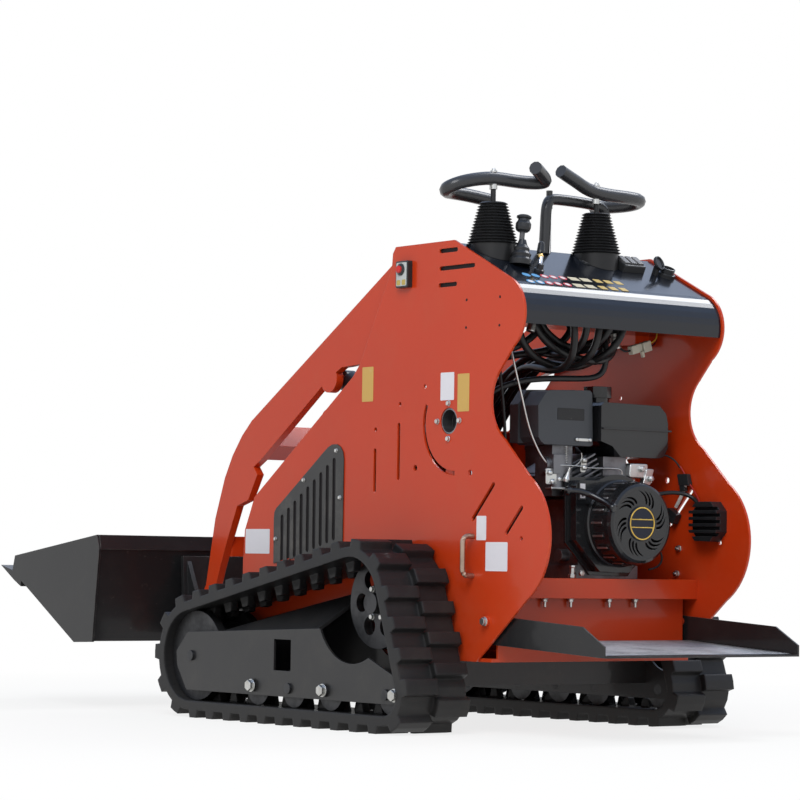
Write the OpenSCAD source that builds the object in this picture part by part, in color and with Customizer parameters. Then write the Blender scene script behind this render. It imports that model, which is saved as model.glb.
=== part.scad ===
// Mini skid steer loader: a walk-behind or stand-on tracked loader with an open engine bay.
// X is across the machine with +X its right side, +Y points forward and Z is up from the ground.
// Places are measured along Y from the rearmost bulge of the side plates and along Z from the ground.

/* [Body] */
// Width over the two side plates
body_w = 600; // [560:1:640]
// Thickness of a side plate
plate_t = 6; // [4:0.5:8]
// Height of the side plates' top edge
body_top = 1107; // [1080:1:1130]
// Height of the side plates' bottom edge
body_bottom = 161; // [150:1:175]
// Distance from the rearmost bulge to the foremost edge of a side plate
body_l = 1165; // [1140:1:1180]
// Radius of the upper rear lobe of a side plate
upper_lobe_r = 88; // [80:1:96]
// Radius of the waist between the rear lobes
waist_r = 100; // [90:1:110]
// Radius of the lower rear bulge
lower_lobe_r = 160; // [150:1:168]
// Thickness of the folded sheet covers
sheet_t = 4; // [3:0.5:6]
// Side of the square cross tube at the rear
cross_tube = 38; // [30:1:44]

/* [Tracks] */
// Gap between a side plate and its track
track_gap = 10; // [6:1:24]
// Width of one rubber track
track_w = 180; // [160:1:190]
// Length of one link of the track
link_pitch = 72; // [60:1:80]
// Thickness of the belt without its lugs
belt_t = 22; // [18:1:26]
// Height of an outer lug
lug_h = 18; // [12:1:22]
// Height of an inner guide lug
guide_h = 22; // [16:1:26]
// Distance between the front and rear idler axles
idler_base = 776; // [740:1:800]
// Radius of the front idler wheel
front_idler_r = 108; // [100:1:114]
// Radius of the rear idler wheel
rear_idler_r = 47; // [42:1:54]
// Radius of the drive sprocket under the belt
sprocket_r = 104; // [96:1:110]
// Height of the drive sprocket's axle
sprocket_z = 286; // [276:1:300]

/* [Loader arms] */
// Thickness of an arm plate
arm_t = 20; // [14:1:24]
// Clearance between an arm and a side plate
arm_gap = 6; // [5:0.5:8]
// Radius of the arm pivot pins
arm_pin_r = 22; // [18:1:26]
// Radius of the bucket pivot pins
tip_pin_r = 15; // [12:1:18]
// Outer radius of a lift cylinder's barrel
lift_barrel_r = 28; // [24:1:30]
// Radius of a lift cylinder's rod
lift_rod_r = 15; // [12:1:18]
// Outer radius of the tilt cylinder's barrel
tilt_barrel_r = 26; // [22:1:30]
// Radius of the tilt cylinder's rod
tilt_rod_r = 14; // [12:1:18]
// Running clearance of a pin in its bore
pin_gap = 0.05; // [0.02:0.01:0.1]

/* [Bucket] */
// Width over the bucket's sides
bucket_w = 1020; // [990:1:1060]
// Thickness of the bucket's plates
bucket_t = 6; // [5:0.5:10]
// Thickness of the cutting edge
edge_t = 14; // [10:1:18]

/* [Operator platform] */
// Distance that the platform reaches behind the side plates
platform_reach = 168; // [140:1:200]
// Height of the platform's side wings
wing_h = 52; // [40:1:60]
// Thickness of the platform's plates
platform_t = 4; // [3:0.5:6]

/* [Engine] */
// Radius of the engine's recoil starter cover
recoil_r = 100; // [90:1:106]
// Distance of the crankshaft to the right of the machine's middle
engine_x = 75; // [60:1:85]
// Height of the engine's mounting face
engine_base_z = 348; // [344:1:356]

/* [Hidden] */

$fn = 48;
orange = [0.86, 0.24, 0.10];
black = [0.06, 0.06, 0.07];
dark_grey = [0.20, 0.20, 0.21];
rubber = [0.09, 0.09, 0.10];
steel = [0.62, 0.62, 0.64];
half_w = body_w / 2;
inner_w = half_w - plate_t;
track_span = body_w + 2 * (track_gap + track_w);

// Foremost point of the bucket's lip and the middle of the overall length
bucket_tip_y = 1985;
middle_y = (bucket_tip_y - platform_reach) / 2;

// Moves the measuring place of Y to the middle of the overall length
module at_middle() {
    translate([0, -middle_y, 0]) children();
}

// Extrudes an outline drawn in the Y-Z plane across X from x0 by the width w
module across(x0, w) {
    translate([x0, 0, 0]) rotate([90, 0, 90]) linear_extrude(w) children();
}

// A round bar along X, centred at p = [y, z], from x0 by the width w
module bar_x(x0, w, p, r) {
    translate([x0, p[0], p[1]]) rotate([0, 90, 0]) cylinder(h = w, r = r);
}

// Copies what stands on the left side to the right side as well
module both_sides() {
    children();
    mirror([1, 0, 0]) children();
}

// Corner points of a strip of thickness t on the left of a chain of points
function unit(v) = v / norm(v);
function left_normal(a, b) = let (d = unit(b - a)) [-d[1], d[0]];
function joint_normal(p, i) =
    i == 0 ? left_normal(p[0], p[1]) :
    i == len(p) - 1 ? left_normal(p[i - 1], p[i]) :
    let (m = left_normal(p[i - 1], p[i]), n = left_normal(p[i], p[i + 1])) (m + n) / (1 + m * n);
function strip(p, t) = concat(p, [for (i = [len(p) - 1:-1:0]) p[i] + t * joint_normal(p, i)]);
function arc(c, r, a0, a1, n) = [for (i = [0:n]) c + r * [cos(a0 + (a1 - a0) * i / n), sin(a0 + (a1 - a0) * i / n)]];

// Rings of a round tube swept along points, for bent bars and hoses
function side_vector(t) = unit(cross(t, abs(t[2]) < 0.9 ? [0, 0, 1] : [0, 1, 0]));
function tangent_at(p, i) = unit(p[min(i + 1, len(p) - 1)] - p[max(i - 1, 0)]);
function bend_points(a, b, c, r, n) =
    let (u = unit(a - b), v = unit(c - b), h = acos(u * v) / 2, d = r / tan(h),
         m = b + unit(u + v) * r / sin(h))
    [for (i = [0:n]) let (w = i / n, q = b + u * d * (1 - w) + v * d * w) m + unit(q - m) * r];
function bent_path(p, r, n) = concat([p[0]],
    [for (i = [1:len(p) - 2]) each bend_points(p[i - 1], p[i], p[i + 1], r, n)], [p[len(p) - 1]]);
module swept_tube(p, r, sides) {
    rings = [for (i = [0:len(p) - 1]) let (t = tangent_at(p, i), s = side_vector(t), u = cross(s, t))
        for (k = [0:sides - 1]) p[i] + r * (cos(360 * k / sides) * s + sin(360 * k / sides) * u)];
    walls = [for (i = [0:len(p) - 2]) for (k = [0:sides - 1])
        [i * sides + k, (i + 1) * sides + k, (i + 1) * sides + (k + 1) % sides, i * sides + (k + 1) % sides]];
    start_cap = [for (k = [0:sides - 1]) k];
    end_cap = [for (k = [sides - 1:-1:0]) (len(p) - 1) * sides + k];
    polyhedron(points = rings, faces = concat(walls, [start_cap], [end_cap]));
}

// Side plate outline with its upper lobe, waist and lower bulge
upper_lobe_c = [93 + upper_lobe_r, 929];
lower_lobe_c = [lower_lobe_r, 437];
waist_c = [205 - waist_r, 737];
top_rear = [345, body_top];
front_top = [576, 1059];
front_notch = [694, 842];
front_slope_low = [1120, 533];
module side_outline() {
    difference() {
        union() {
            polygon([
                top_rear, [143, 1008], [130, 930], [134, 853], [170, 814], [161, 655], [34, 535],
                [40, 437], [76, 301], [247, body_bottom], [1110, body_bottom], [body_l, 205],
                [body_l, 379], [1159, 453], front_slope_low, [721, 813], front_notch, front_top,
                [573, 1092], [562, body_top]
            ]);
            translate(upper_lobe_c) circle(r = upper_lobe_r);
            translate(lower_lobe_c) circle(r = lower_lobe_r);
        }
        translate(waist_c) circle(r = waist_r);
    }
}

// Slots and holes of a side plate
module slot(a, b, w) {
    d = b - a;
    translate(a) rotate(atan2(d[1], d[0])) {
        translate([0, -w / 2]) square([norm(d), w]);
        circle(r = w / 2);
        translate([norm(d), 0]) circle(r = w / 2);
    }
}
port_c = [356, 698];
port_r = 30;
port_bolt_r = 40;
port_bolt_hole_r = 4.5;
lift_rod_pin = [360, 580];
slots = [[[336, 1085], [394, 1085]], [[274, 1045], [393, 1045]], [[338, 1007], [395, 1007]],
         [[631, 544], [631, 637]], [[541, 572], [541, 694]], [[194, 553], [265, 477]], [[96, 501], [147, 446]]];
slot_w = 10;
// Round slot below the port, and small round holes as [y, z, radius]
arc_slot_c = [332, 694];
arc_slot_r = 114;
arc_slot_from = -90;
arc_slot_to = 22;
small_holes = [[630, 686, 5], [538, 742, 5], [445, 779, 5], [96, 434, 5], [477, 594, 7], [277, 580, 7]];
module arc_slot() {
    polygon(concat(arc(arc_slot_c, arc_slot_r + slot_w / 2, arc_slot_from, arc_slot_to, 14),
        arc(arc_slot_c, arc_slot_r - slot_w / 2, arc_slot_to, arc_slot_from, 14)));
}
module side_cuts() {
    for (s = slots) slot(s[0], s[1], slot_w);
    for (h = small_holes) translate([h[0], h[1]]) circle(r = h[2]);
    arc_slot();
    translate(port_c) circle(r = port_r);
    for (a = [0:90:270]) translate(port_c + port_bolt_r * [cos(a), sin(a)]) circle(r = port_bolt_hole_r);
}
module side_plate(x0) {
    across(x0, plate_t) difference() {
        side_outline();
        side_cuts();
    }
}
// Inside bosses for the lift rods and the platform's hinge bolts, drawn for the right side
module side_pins() {
    bar_x(lift_boss_x, inner_w - lift_boss_x, lift_rod_pin, lift_boss_r);
    bar_x(inner_w - platform_side_gap - platform_t - 4, platform_side_gap + platform_t + 4, platform_pivot, platform_pin_r);
    bar_x(half_w, 7, platform_pivot, 12);
}
module side_plate_right() {
    color(orange) at_middle() {
        side_plate(inner_w);
        side_pins();
    }
}
module side_plate_left() {
    color(orange) at_middle() {
        side_plate(-half_w);
        mirror([1, 0, 0]) side_pins();
    }
}

lift_boss_r = 14;
platform_pivot = [211, 251];
platform_pin_r = 8;
platform_side_gap = 6;

// Floor pan, lower rear panel, rear cross tube and engine plate between the side plates
rear_tube_y = 172;
rear_tube_z = 303;
floor_t = 8;
rear_panel_y = 200;
rear_panel_half = inner_w - 18;
module floor_frame() {
    color(orange) at_middle() {
        across(-inner_w, 2 * inner_w)
            translate([rear_panel_y, body_bottom]) square([1110 - rear_panel_y, floor_t]);
        across(-rear_panel_half, 2 * rear_panel_half)
            translate([rear_panel_y, body_bottom]) square([plate_t, rear_tube_z - body_bottom]);
        across(-inner_w, 2 * inner_w) difference() {
            translate([rear_tube_y, rear_tube_z]) square(cross_tube);
            translate([rear_tube_y + 4, rear_tube_z + 4]) square(cross_tube - 8);
        }
        across(-inner_w, 2 * inner_w)
            translate([rear_tube_y, rear_tube_z + cross_tube]) square([440, engine_base_z - rear_tube_z - cross_tube]);
    }
}

// Front cover: one folded sheet that follows the front edge of the side plates
cover_line = [[1155, body_bottom + floor_t + 6], [1155, 330], [1130, 420], [1080, 515], [724, 779]];
lift_window_x = 190;
lift_window_end = 820;
module front_cover() {
    color(orange) at_middle() difference() {
        across(-inner_w, 2 * inner_w) polygon(strip(cover_line, sheet_t));
        both_sides() translate([lift_window_x, 700, 600]) cube([inner_w - lift_window_x + 1, lift_window_end - 700, 220]);
    }
}

// Towers that hold the arm pivots, with the pins
arm_pivot = [440, 985];
arm_x0 = inner_w - arm_gap - arm_t;
tower_t = 8;
tower_x = arm_x0 - 10 - tower_t;
hub_side_gap = 1;
module arm_towers() {
    color(orange) at_middle() both_sides() {
        across(-tower_x - tower_t, tower_t) polygon([
            [345, 900], [345, 1060], [380, 1095], [470, 1095], [520, 1060], [520, 900]]);
        across(-inner_w, inner_w - tower_x - tower_t) {
            translate([345, 900]) square([6, 160]);
        }
        bar_x(-inner_w, inner_w - tower_x - tower_t, arm_pivot, arm_pin_r);
    }
}

// Console: a sheet rolled over the rear edge of the upper lobe, and the shelf under it
console_inset = 6;
console_top = [345, body_top - console_inset];
console_low = upper_lobe_c + (upper_lobe_r - console_inset) * [cos(116), sin(116)];
console_line = concat([console_top + [14, 2], console_top],
    arc(upper_lobe_c, upper_lobe_r - console_inset, 116, 196, 8));
console_slope = atan2(console_top[1] - console_low[1], console_top[0] - console_low[0]);
seat_gap = 0.2;
shelf_y = 250;
shelf_z = 922;
shelf_l = console_top[0] - shelf_y;
module console_panel() {
    color(black) at_middle() {
        across(-inner_w, 2 * inner_w) polygon(strip(console_line, sheet_t));
        across(-inner_w, 2 * inner_w) translate([shelf_y, shelf_z]) square([shelf_l, sheet_t]);
    }
}
// Cuts off all that reaches below the slope of the console
module seated_on_console() {
    difference() {
        children();
        translate([-half_w, console_top[0], console_top[1] + seat_gap]) rotate([console_slope, 0, 0])
            translate([0, -400, -200]) cube([body_w, 800, 200]);
    }
}

// Two ribbed bellows under the drive handles
bellows_low_r = 58;
bellows_high_r = 34;
bellows_h = 96;
bellows_ribs = 14;
left_stick = [-215, 312];
right_stick = [95, 312];
stick_z = 1100;
handle_r = 17;
stem_r = 6;
handle_z = 1252;
// A stem ends just under the flat underside of its handle's ten-sided tube
stem_top_z = handle_z - handle_r * cos(18) - 0.2;
module stick_stem(at) {
    translate([at[0], at[1], stick_z + bellows_h - 10]) cylinder(h = stem_top_z - stick_z - bellows_h + 10, r = stem_r);
}
module bellows(at) {
    step = bellows_h / bellows_ribs;
    translate([at[0], at[1], stick_z]) rotate_extrude() polygon(concat([[0, -50], [bellows_low_r - 6, -50]],
        [for (i = [0:bellows_ribs - 1]) let (r = bellows_low_r + (bellows_high_r - bellows_low_r) * i / (bellows_ribs - 1))
            each [[r - 6, i * step], [r, (i + 0.5) * step]]], [[bellows_high_r - 6, bellows_h], [0, bellows_h]]));
}
module control_bellows() {
    color(black) at_middle() {
        for (at = [left_stick, right_stick]) seated_on_console() {
            bellows(at);
            stick_stem(at);
        }
    }
}

// Foam covered loop handles on their stems
module drive_handles() {
    color(black) at_middle() {
        swept_tube(bent_path([[-110, 230, 1285], [-95, 290, 1252], [-215, 312, 1252], [-330, 330, 1250],
            [-300, 420, 1240], [-215, 400, 1228]], 24, 4), handle_r, 10);
        swept_tube(bent_path([[0, 330, 1300], [60, 312, 1252], [215, 300, 1252], [225, 380, 1246],
            [110, 400, 1236]], 24, 4), handle_r, 10);
    }
}

// Fixed bent grab bar between the handles
module grab_bar() {
    color(black) at_middle() seated_on_console()
        swept_tube(bent_path([[-75, 325, 1070], [-62, 330, 1222], [150, 348, 1220], [160, 350, 1070]], 30, 5), 13, 10);
}

// Lever with a knob, straight lever, rocker switches and round caps
module levers_and_switches() {
    color(black) at_middle() seated_on_console() {
        translate([-187, 246, 1030]) cylinder(h = 110, r = 9);
        translate([-187, 246, 1140]) sphere(r = 18);
        translate([-100, 290, 1060]) cylinder(h = 130, r = 6);
        translate([150, 235, 1030]) rotate([console_slope, 0, 0]) cube([50, 30, 36]);
        for (x = [235, 268]) translate([x - 10, 250, 1030]) rotate([console_slope, 0, 0]) cylinder(h = 50, r = 14);
    }
}

// Grille plates on the sides, with upright louvre slots
grille_t = 3;
grille_pitch = 27;
grille_slots = 9;
module grille_outline() {
    polygon([[1078, 372], [1078, 478], [1058, 505], [832, 660], [806, 668], [780, 655], [768, 630], [768, 420]]);
}
module grille(x0) {
    across(x0, grille_t) difference() {
        grille_outline();
        for (i = [0:grille_slots - 1])
            slot([1048 - i * grille_pitch, 395 + i * 3], [1048 - i * grille_pitch, 480 + i * 18], 12);
    }
}
module grille_left() {
    color(black) at_middle() grille(-half_w - grille_t);
}
module grille_right() {
    color(black) at_middle() grille(half_w);
}

// Small box with an emergency stop button on the left side plate
module stop_button_box() {
    color(dark_grey) at_middle() {
        translate([-half_w - 30, 528, 1030]) cube([30, 50, 66]);
        bar_x(-half_w - 48, 18, [553, 1075], 12);
    }
}

// Bent rod rings for tying the machine down
module tie_down_ring(side) {
    swept_tube([for (p = bent_path([[0, 0, 44], [0, -30, 44], [0, -30, -44], [0, 0, -44]], 14, 4))
        [side * (half_w - p[1]), 262, 395] + [0, 0, p[2]]], 6, 8);
}
module tie_down_rings() {
    color(steel) at_middle() {
        tie_down_ring(-1);
        tie_down_ring(1);
    }
}

// Engine: block with its cylinder and fins
crank_z = engine_base_z + 126;
recoil_y = 122;
recoil_depth = 84;
block_y = 240;
block_l = 240;
block_half = 92;
fin_t = 4;
fin_pitch = 12;
air_cleaner_z = 650;
air_cleaner_y = 248;
tank_z = 628;
// Engine: crankcase, inclined cylinder with its fins, carburettor and brackets
module engine_block() {
    color(dark_grey) at_middle() {
        translate([engine_x - 95, block_y, engine_base_z]) cube([190, block_l, 30]);
        translate([engine_x, block_y + block_l, crank_z - 8]) rotate([90, 0, 0]) linear_extrude(block_l)
            polygon([[-85, -block_half], [85, -block_half], [92, -40], [85, 60], [40, block_half], [-50, block_half],
                [-92, 50], [-92, -40]]);
        translate([engine_x - 20, block_y + 30, crank_z]) rotate([0, -25, 0]) {
            translate([-50, 0, 0]) cube([100, 130, 150]);
            for (k = [0:5]) translate([-64, -14, 84 + fin_pitch * k]) cube([128, 158, fin_t]);
        }
        translate([-75, block_y + 20, crank_z + 60]) cube([60, 60, air_cleaner_z - crank_z - 60]);
        translate([-84, block_y + 4, air_cleaner_z - 66]) cube([52, 50, 44]);
        translate([-58, block_y + 26, air_cleaner_z - 100]) cylinder(h = 40, r = 22);
        translate([-96, block_y + 28, air_cleaner_z - 44]) rotate([0, 90, 0]) cylinder(h = 20, r = 17);
        translate([engine_x - 5, block_y + 10, crank_z]) cube([70, 60, tank_z - crank_z]);
        translate([engine_x, block_y + block_l, crank_z]) rotate([-90, 0, 0]) cylinder(h = 60, r = 40);
        translate([engine_x - 112, block_y + 40, engine_base_z + 52]) rotate([0, 90, 0]) cylinder(h = 30, r = 14);
    }
}
// Fan housing: pressed shell with a flat rim and a raised belly
fan_r = 112;
fan_depth = block_y - recoil_y - recoil_depth;
module fan_housing() {
    color(black) at_middle() translate([engine_x, block_y, crank_z]) rotate([90, 0, 0]) {
        linear_extrude(fan_depth) {
            circle(r = fan_r);
            polygon([[-122, -40], [-124, 84], [-112, 96], [60, 98], [96, 60], [100, -60], [40, -112], [-50, -110]]);
        }
        linear_extrude(6) polygon([[-130, -46], [-132, 92], [-120, 104], [70, 106], [108, 64], [116, -50], [60, -120],
            [-56, -118]]);
    }
}
// Recoil starter: a deep cup with slots round its wall and a slotted face
wall_slots = 20;
recoil_slots = 6;
module recoil_cover() {
    color(black) at_middle() translate([engine_x, recoil_y + recoil_depth, crank_z]) rotate([90, 0, 0]) difference() {
        rotate_extrude() polygon([[0, 0], [recoil_r, 0], [recoil_r, 12], [recoil_r - 4, 14],
            [recoil_r - 6, recoil_depth - 12], [recoil_r - 10, recoil_depth - 3], [recoil_r - 16, recoil_depth],
            [recoil_r - 24, recoil_depth - 1], [52, recoil_depth - 5], [46, recoil_depth - 1], [0, recoil_depth - 1]]);
        for (k = [0:wall_slots - 1]) rotate(360 / wall_slots * k) translate([recoil_r - 16, -7, 18]) cube([30, 14, 34]);
        for (a = [0:360 / recoil_slots:359]) for (b = [-13, 0, 13])
            rotate(a + b + 15) translate([54, -3, recoil_depth - 24]) cube([22, 6, 40]);
    }
}
// Air cleaner case with chamfered shoulders, its lid seam and clip
module air_cleaner() {
    color(dark_grey) at_middle() {
        translate([0, air_cleaner_y + 92, 0]) rotate([90, 0, 0]) linear_extrude(92)
            polygon([[-118, air_cleaner_z + 6], [-126, air_cleaner_z + 16], [-128, 738], [-104, 770], [-92, 774],
                [26, 778], [33, 772], [36, air_cleaner_z + 4], [30, air_cleaner_z], [-108, air_cleaner_z]]);
        translate([0, air_cleaner_y + 96, 0]) rotate([90, 0, 0]) linear_extrude(30)
            polygon([[-132, air_cleaner_z + 4], [-132, 742], [-106, 776], [38, 782], [40, air_cleaner_z + 2]]);
    }
}
// Fuel tank pressed from two halves, with its flange and cap
tank_x0 = 44;
tank_w = 206;
tank_y = 228;
tank_l = 122;
module fuel_tank() {
    color(black) at_middle() {
        translate([tank_x0, tank_y + tank_l, 0]) rotate([90, 0, 0]) linear_extrude(tank_l)
            polygon([[60, tank_z], [34, tank_z + 24], [0, tank_z + 34], [0, 744], [8, 752], [tank_w - 26, 750],
                [tank_w - 6, 732], [tank_w, 710], [tank_w, tank_z + 24], [tank_w - 12, tank_z + 4], [tank_w - 26, tank_z]]);
        translate([tank_x0 + 2, tank_y - 6, tank_z + 62]) cube([tank_w + 4, tank_l + 10, 4]);
        translate([tank_x0 + 42, tank_y + 62, 748]) {
            cylinder(h = 22, r = 27);
            translate([0, 0, 16]) cylinder(h = 26, r = 33, $fn = 12);
        }
    }
}
// Muffler in its slotted heat shield, and its outlet
muffler_z = crank_z - 8 + block_half;
module muffler() {
    color(dark_grey) at_middle() {
        translate([62, 430, muffler_z]) cube([78, 90, 126]);
        for (k = [0:5]) translate([66, 426, muffler_z + 12 + 19 * k]) cube([70, 98, 6]);
        translate([100, 520, muffler_z + 98]) rotate([-90, 0, 0]) cylinder(h = 30, r = 16);
    }
}
// Finned regulator on the inner side of the right plate
regulator_c = [120, 482];
regulator_w = 34;
module regulator() {
    color(black) at_middle() difference() {
        across(inner_w - regulator_w, regulator_w) translate(regulator_c)
            polygon([[-46, -24], [-24, -46], [26, -44], [46, -22], [46, 26], [22, 46], [-26, 46], [-46, 24]]);
        for (k = [-2:2]) translate([inner_w - regulator_w - 1, regulator_c[0] - 60, regulator_c[1] + 15 * k - 4])
            cube([14, 120, 8]);
    }
}
module hydraulic_pump() {
    color(dark_grey) at_middle() translate([engine_x, block_y + block_l + 60, crank_z]) rotate([-90, 0, 0]) cylinder(h = 120, r = 55);
}
fittings_x = [-84, -44, -4, 36, 76];
module valve_block() {
    color(black) at_middle() {
        translate([-110, shelf_y, shelf_z + sheet_t]) cube([220, shelf_l, 90]);
        for (x = fittings_x) translate([x, shelf_y, shelf_z + 46]) rotate([90, 0, 0]) {
            cylinder(h = 22, r = 13, $fn = 6);
            cylinder(h = 40, r = 8);
        }
    }
}
module hydraulic_tank() {
    color(orange) at_middle() translate([-200, 760, body_bottom + floor_t]) cube([400, 240, 330]);
}

// Undercarriage: black cross frame that carries both track frames
module undercarriage_frame() {
    color(black) at_middle() {
        for (y = [380, 900]) translate([-inner_track_x, y, body_bottom - 60]) cube([2 * inner_track_x, 80, 60]);
    }
}

// Track loop: three wheels in order front idler, sprocket, rear idler as [y, z, radius at the lug tips]
tread_h = belt_t + lug_h;
front_idler_y = 1113;
front_r = front_idler_r + tread_h;
rear_r = rear_idler_r + tread_h;
wheels = [
    [front_idler_y, front_r, front_r],
    [468, sprocket_z, sprocket_r + tread_h],
    [front_idler_y - idler_base, rear_r, rear_r]
];
function wheel(i) = wheels[i % 3];
function wheel_c(i) = [wheel(i)[0], wheel(i)[1]];
function run_vector(i) = wheel_c(i + 1) - wheel_c(i);
function run_angle(i) = let (d = run_vector(i))
    atan2(d[1], d[0]) - 90 + asin((wheel(i)[2] - wheel(i + 1)[2]) / norm(d));
run_angles = [for (i = [0:2]) (run_angle(i) + 720) % 360];
function run_length(i) = let (d = run_vector(i)) sqrt(d * d - pow(wheel(i)[2] - wheel(i + 1)[2], 2));
function wrap_angle(i) = (run_angles[(i + 1) % 3] - run_angles[i % 3] + 720) % 360;
mid_belt = lug_h + belt_t / 2;
function wrap_length(i) = (wheel(i + 1)[2] - mid_belt) * wrap_angle(i) * PI / 180;
function leg_length(i) = run_length(i) + wrap_length(i);
loop_length = leg_length(0) + leg_length(1) + leg_length(2);
links = round(loop_length / link_pitch);
function direction(a) = [cos(a), sin(a)];
// Point on the loop at the distance s along it and o outside the lug tips
function leg_point(i, s, o) = s < run_length(i)
    ? wheel_c(i) + (wheel(i)[2] + o) * direction(run_angles[i]) + s * direction(run_angles[i] + 90)
    : wheel_c(i + 1) + (wheel(i + 1)[2] + o)
        * direction(run_angles[i] + (s - run_length(i)) / wrap_length(i) * wrap_angle(i));
function loop_point(s, o, i = 0) = let (w = i == 0 ? s - floor(s / loop_length) * loop_length : s)
    (i == 2 || w < leg_length(i)) ? leg_point(i, w, o) : loop_point(w - leg_length(i), o, i + 1);
step = loop_length / links;
// One link of the outline as [share of a link, offset from the lug tips]
lug_profile = [[0.05, -lug_h], [0.11, 0], [0.30, 0], [0.49, 0], [0.55, -lug_h], [0.80, -lug_h]];
guide_profile = [[0.0, -tread_h], [0.27, -tread_h], [0.36, -tread_h - guide_h], [0.64, -tread_h - guide_h], [0.73, -tread_h]];
function loop_outline(profile, shift) =
    [for (k = [0:links - 1]) for (q = profile) loop_point((k + q[0] + shift) * step, q[1])];
module track(side) {
    x_out = track_span / 2;
    x_mid = x_out - track_w / 2;
    x_in = x_out - track_w;
    rows = [[x_in, 0], [x_mid, 0.5]];
    for (r = rows) across(side > 0 ? r[0] : -r[0] - track_w / 2, track_w / 2) difference() {
        polygon(loop_outline(lug_profile, r[1]));
        polygon(loop_outline([for (q = [0:3]) [q / 4, -tread_h]], 0));
    }
    for (g = [-1, 1]) across(side * x_mid + g * 26 - 10, 20) difference() {
        polygon(loop_outline([for (q = [0:3]) [q / 4, -tread_h + 2]], 0));
        polygon(loop_outline(guide_profile, 0));
    }
}
module track_left() {
    color(rubber) at_middle() track(-1);
}
module track_right() {
    color(rubber) at_middle() track(1);
}

// Wheels inside a track: front and rear idlers and three rollers
belt_mid_x = track_span / 2 - track_w / 2;
roller_r = 45.5;
rollers_y = [564, 708, 853];
axle_r = 12;
wheel_gap = 0.8;
wheel_centres = concat([[front_idler_y, front_r], [front_idler_y - idler_base, rear_r]],
    [for (y = rollers_y) [y, tread_h + roller_r]]);
inner_track_x = track_span / 2 - track_w + 14;
module grooved_wheel(p, r, w, groove) {
    translate([belt_mid_x - w / 2, p[0], p[1]]) rotate([0, 90, 0]) difference() {
        cylinder(h = w, r = r);
        translate([0, 0, w / 2 - groove / 2]) difference() {
            cylinder(h = groove, r = r + 1);
            cylinder(h = groove, r = r - guide_h - 4);
        }
    }
}
module track_wheels() {
    grooved_wheel([front_idler_y, front_r], front_idler_r - wheel_gap, 130, 84);
    grooved_wheel([front_idler_y - idler_base, rear_r], rear_idler_r - wheel_gap, 130, 84);
    for (y = rollers_y) grooved_wheel([y, tread_h + roller_r], roller_r - wheel_gap, 130, 84);
    for (p = wheel_centres)
        bar_x(inner_track_x, track_span / 2 - inner_track_x - 4, p, axle_r);
}
module track_wheels_left() {
    color(dark_grey) at_middle() mirror([1, 0, 0]) track_wheels();
}
module track_wheels_right() {
    color(dark_grey) at_middle() track_wheels();
}

// Drive sprocket between the guide lugs, with round windows, and its hub
sprocket_t = 16;
module sprocket() {
    translate([belt_mid_x - sprocket_t / 2, wheels[1][0], sprocket_z]) rotate([0, 90, 0]) difference() {
        cylinder(h = sprocket_t, r = sprocket_r - wheel_gap);
        for (a = [30:60:330]) rotate(a) translate([60, 0, -1]) cylinder(h = sprocket_t + 2, r = 21);
    }
    bar_x(half_w, belt_mid_x - sprocket_t / 2 - half_w, [wheels[1][0], sprocket_z], 55);
    bar_x(belt_mid_x + sprocket_t / 2, 22, [wheels[1][0], sprocket_z], 24);
}
module sprocket_left() {
    color(dark_grey) at_middle() mirror([1, 0, 0]) sprocket();
}
module sprocket_right() {
    color(dark_grey) at_middle() sprocket();
}

// Track frame: outer cover plate, sloped top and inner plate around the wheels
cover_x = track_span / 2 - 10;
frame_t = 6;
module cover_outline() {
    difference() {
        polygon([[290, 66], [1135, 65], [1176, 122], [1181, 157], [1132, 204], [563, 227], [340, 140], [278, 117]]);
        translate([wheels[1][0], sprocket_z]) circle(r = sprocket_r + 32);
        translate([702, 125]) square([68, 72]);
        axle_holes();
    }
}
module axle_holes() {
    for (p = wheel_centres) translate(p) circle(r = axle_r + 0.1);
}
module inside_loop(gap) {
    polygon(loop_outline([for (q = [0:3]) [q / 4, -tread_h - gap]], 0));
}
module track_frame() {
    across(cover_x - frame_t, frame_t) intersection() {
        cover_outline();
        inside_loop(frame_gap);
    }
    across(inner_track_x, frame_t) intersection() {
        inside_loop(frame_gap);
        inner_outline();
    }
    hull() {
        across(cover_x - frame_t, frame_t) polygon([[990, 203], [990, 209], [600, 225], [600, 219]]);
        across(inner_track_x, frame_t) polygon([[990, 239], [990, 245], [600, 316], [600, 310]]);
    }
}
frame_gap = 4;
module inner_outline() {
    difference() {
        polygon([[290, 66], [1135, 65], [1176, 122], [1150, 200], [1020, 240], [590, 318], [340, 140], [278, 117]]);
        translate([wheels[1][0], sprocket_z]) circle(r = sprocket_r + 32);
        axle_holes();
    }
}
module track_frame_left() {
    color(black) at_middle() mirror([1, 0, 0]) track_frame();
}
module track_frame_right() {
    color(black) at_middle() track_frame();
}

// Loader arms
bucket_pivot = [1385, 205];
lift_ear = [835, 812];
arm_lobe_r = 75;
lift_ear_r = 32;
lift_pin_r = 12;
tip_r = 42;
module arm_outline() {
    difference() {
        union() {
            polygon([
                arm_pivot + [0, arm_lobe_r - 4], [520, 1086], [560, 1086], [1155, 722], [1196, 686], [1236, 638],
                [1269, 582], [1308, 482], [1345, 315], bucket_pivot + [tip_r - 4, 6],
                bucket_pivot + [4 - tip_r, -6], [1286, 353], [1254, 427], [1212, 513], [1166, 526],
                [1127, 589], [1144, 608], [1111, 626], [837, 813], [784, 838], [715, 842],
                [600, 870], arm_pivot + [0, 4 - arm_lobe_r]
            ]);
            translate(arm_pivot) circle(r = arm_lobe_r);
            translate(bucket_pivot) circle(r = tip_r);
            translate(lift_ear) circle(r = lift_ear_r);
        }
        translate(arm_pivot) circle(r = arm_pin_r + pin_gap);
        translate(bucket_pivot) circle(r = tip_pin_r + pin_gap);
    }
}
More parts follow.
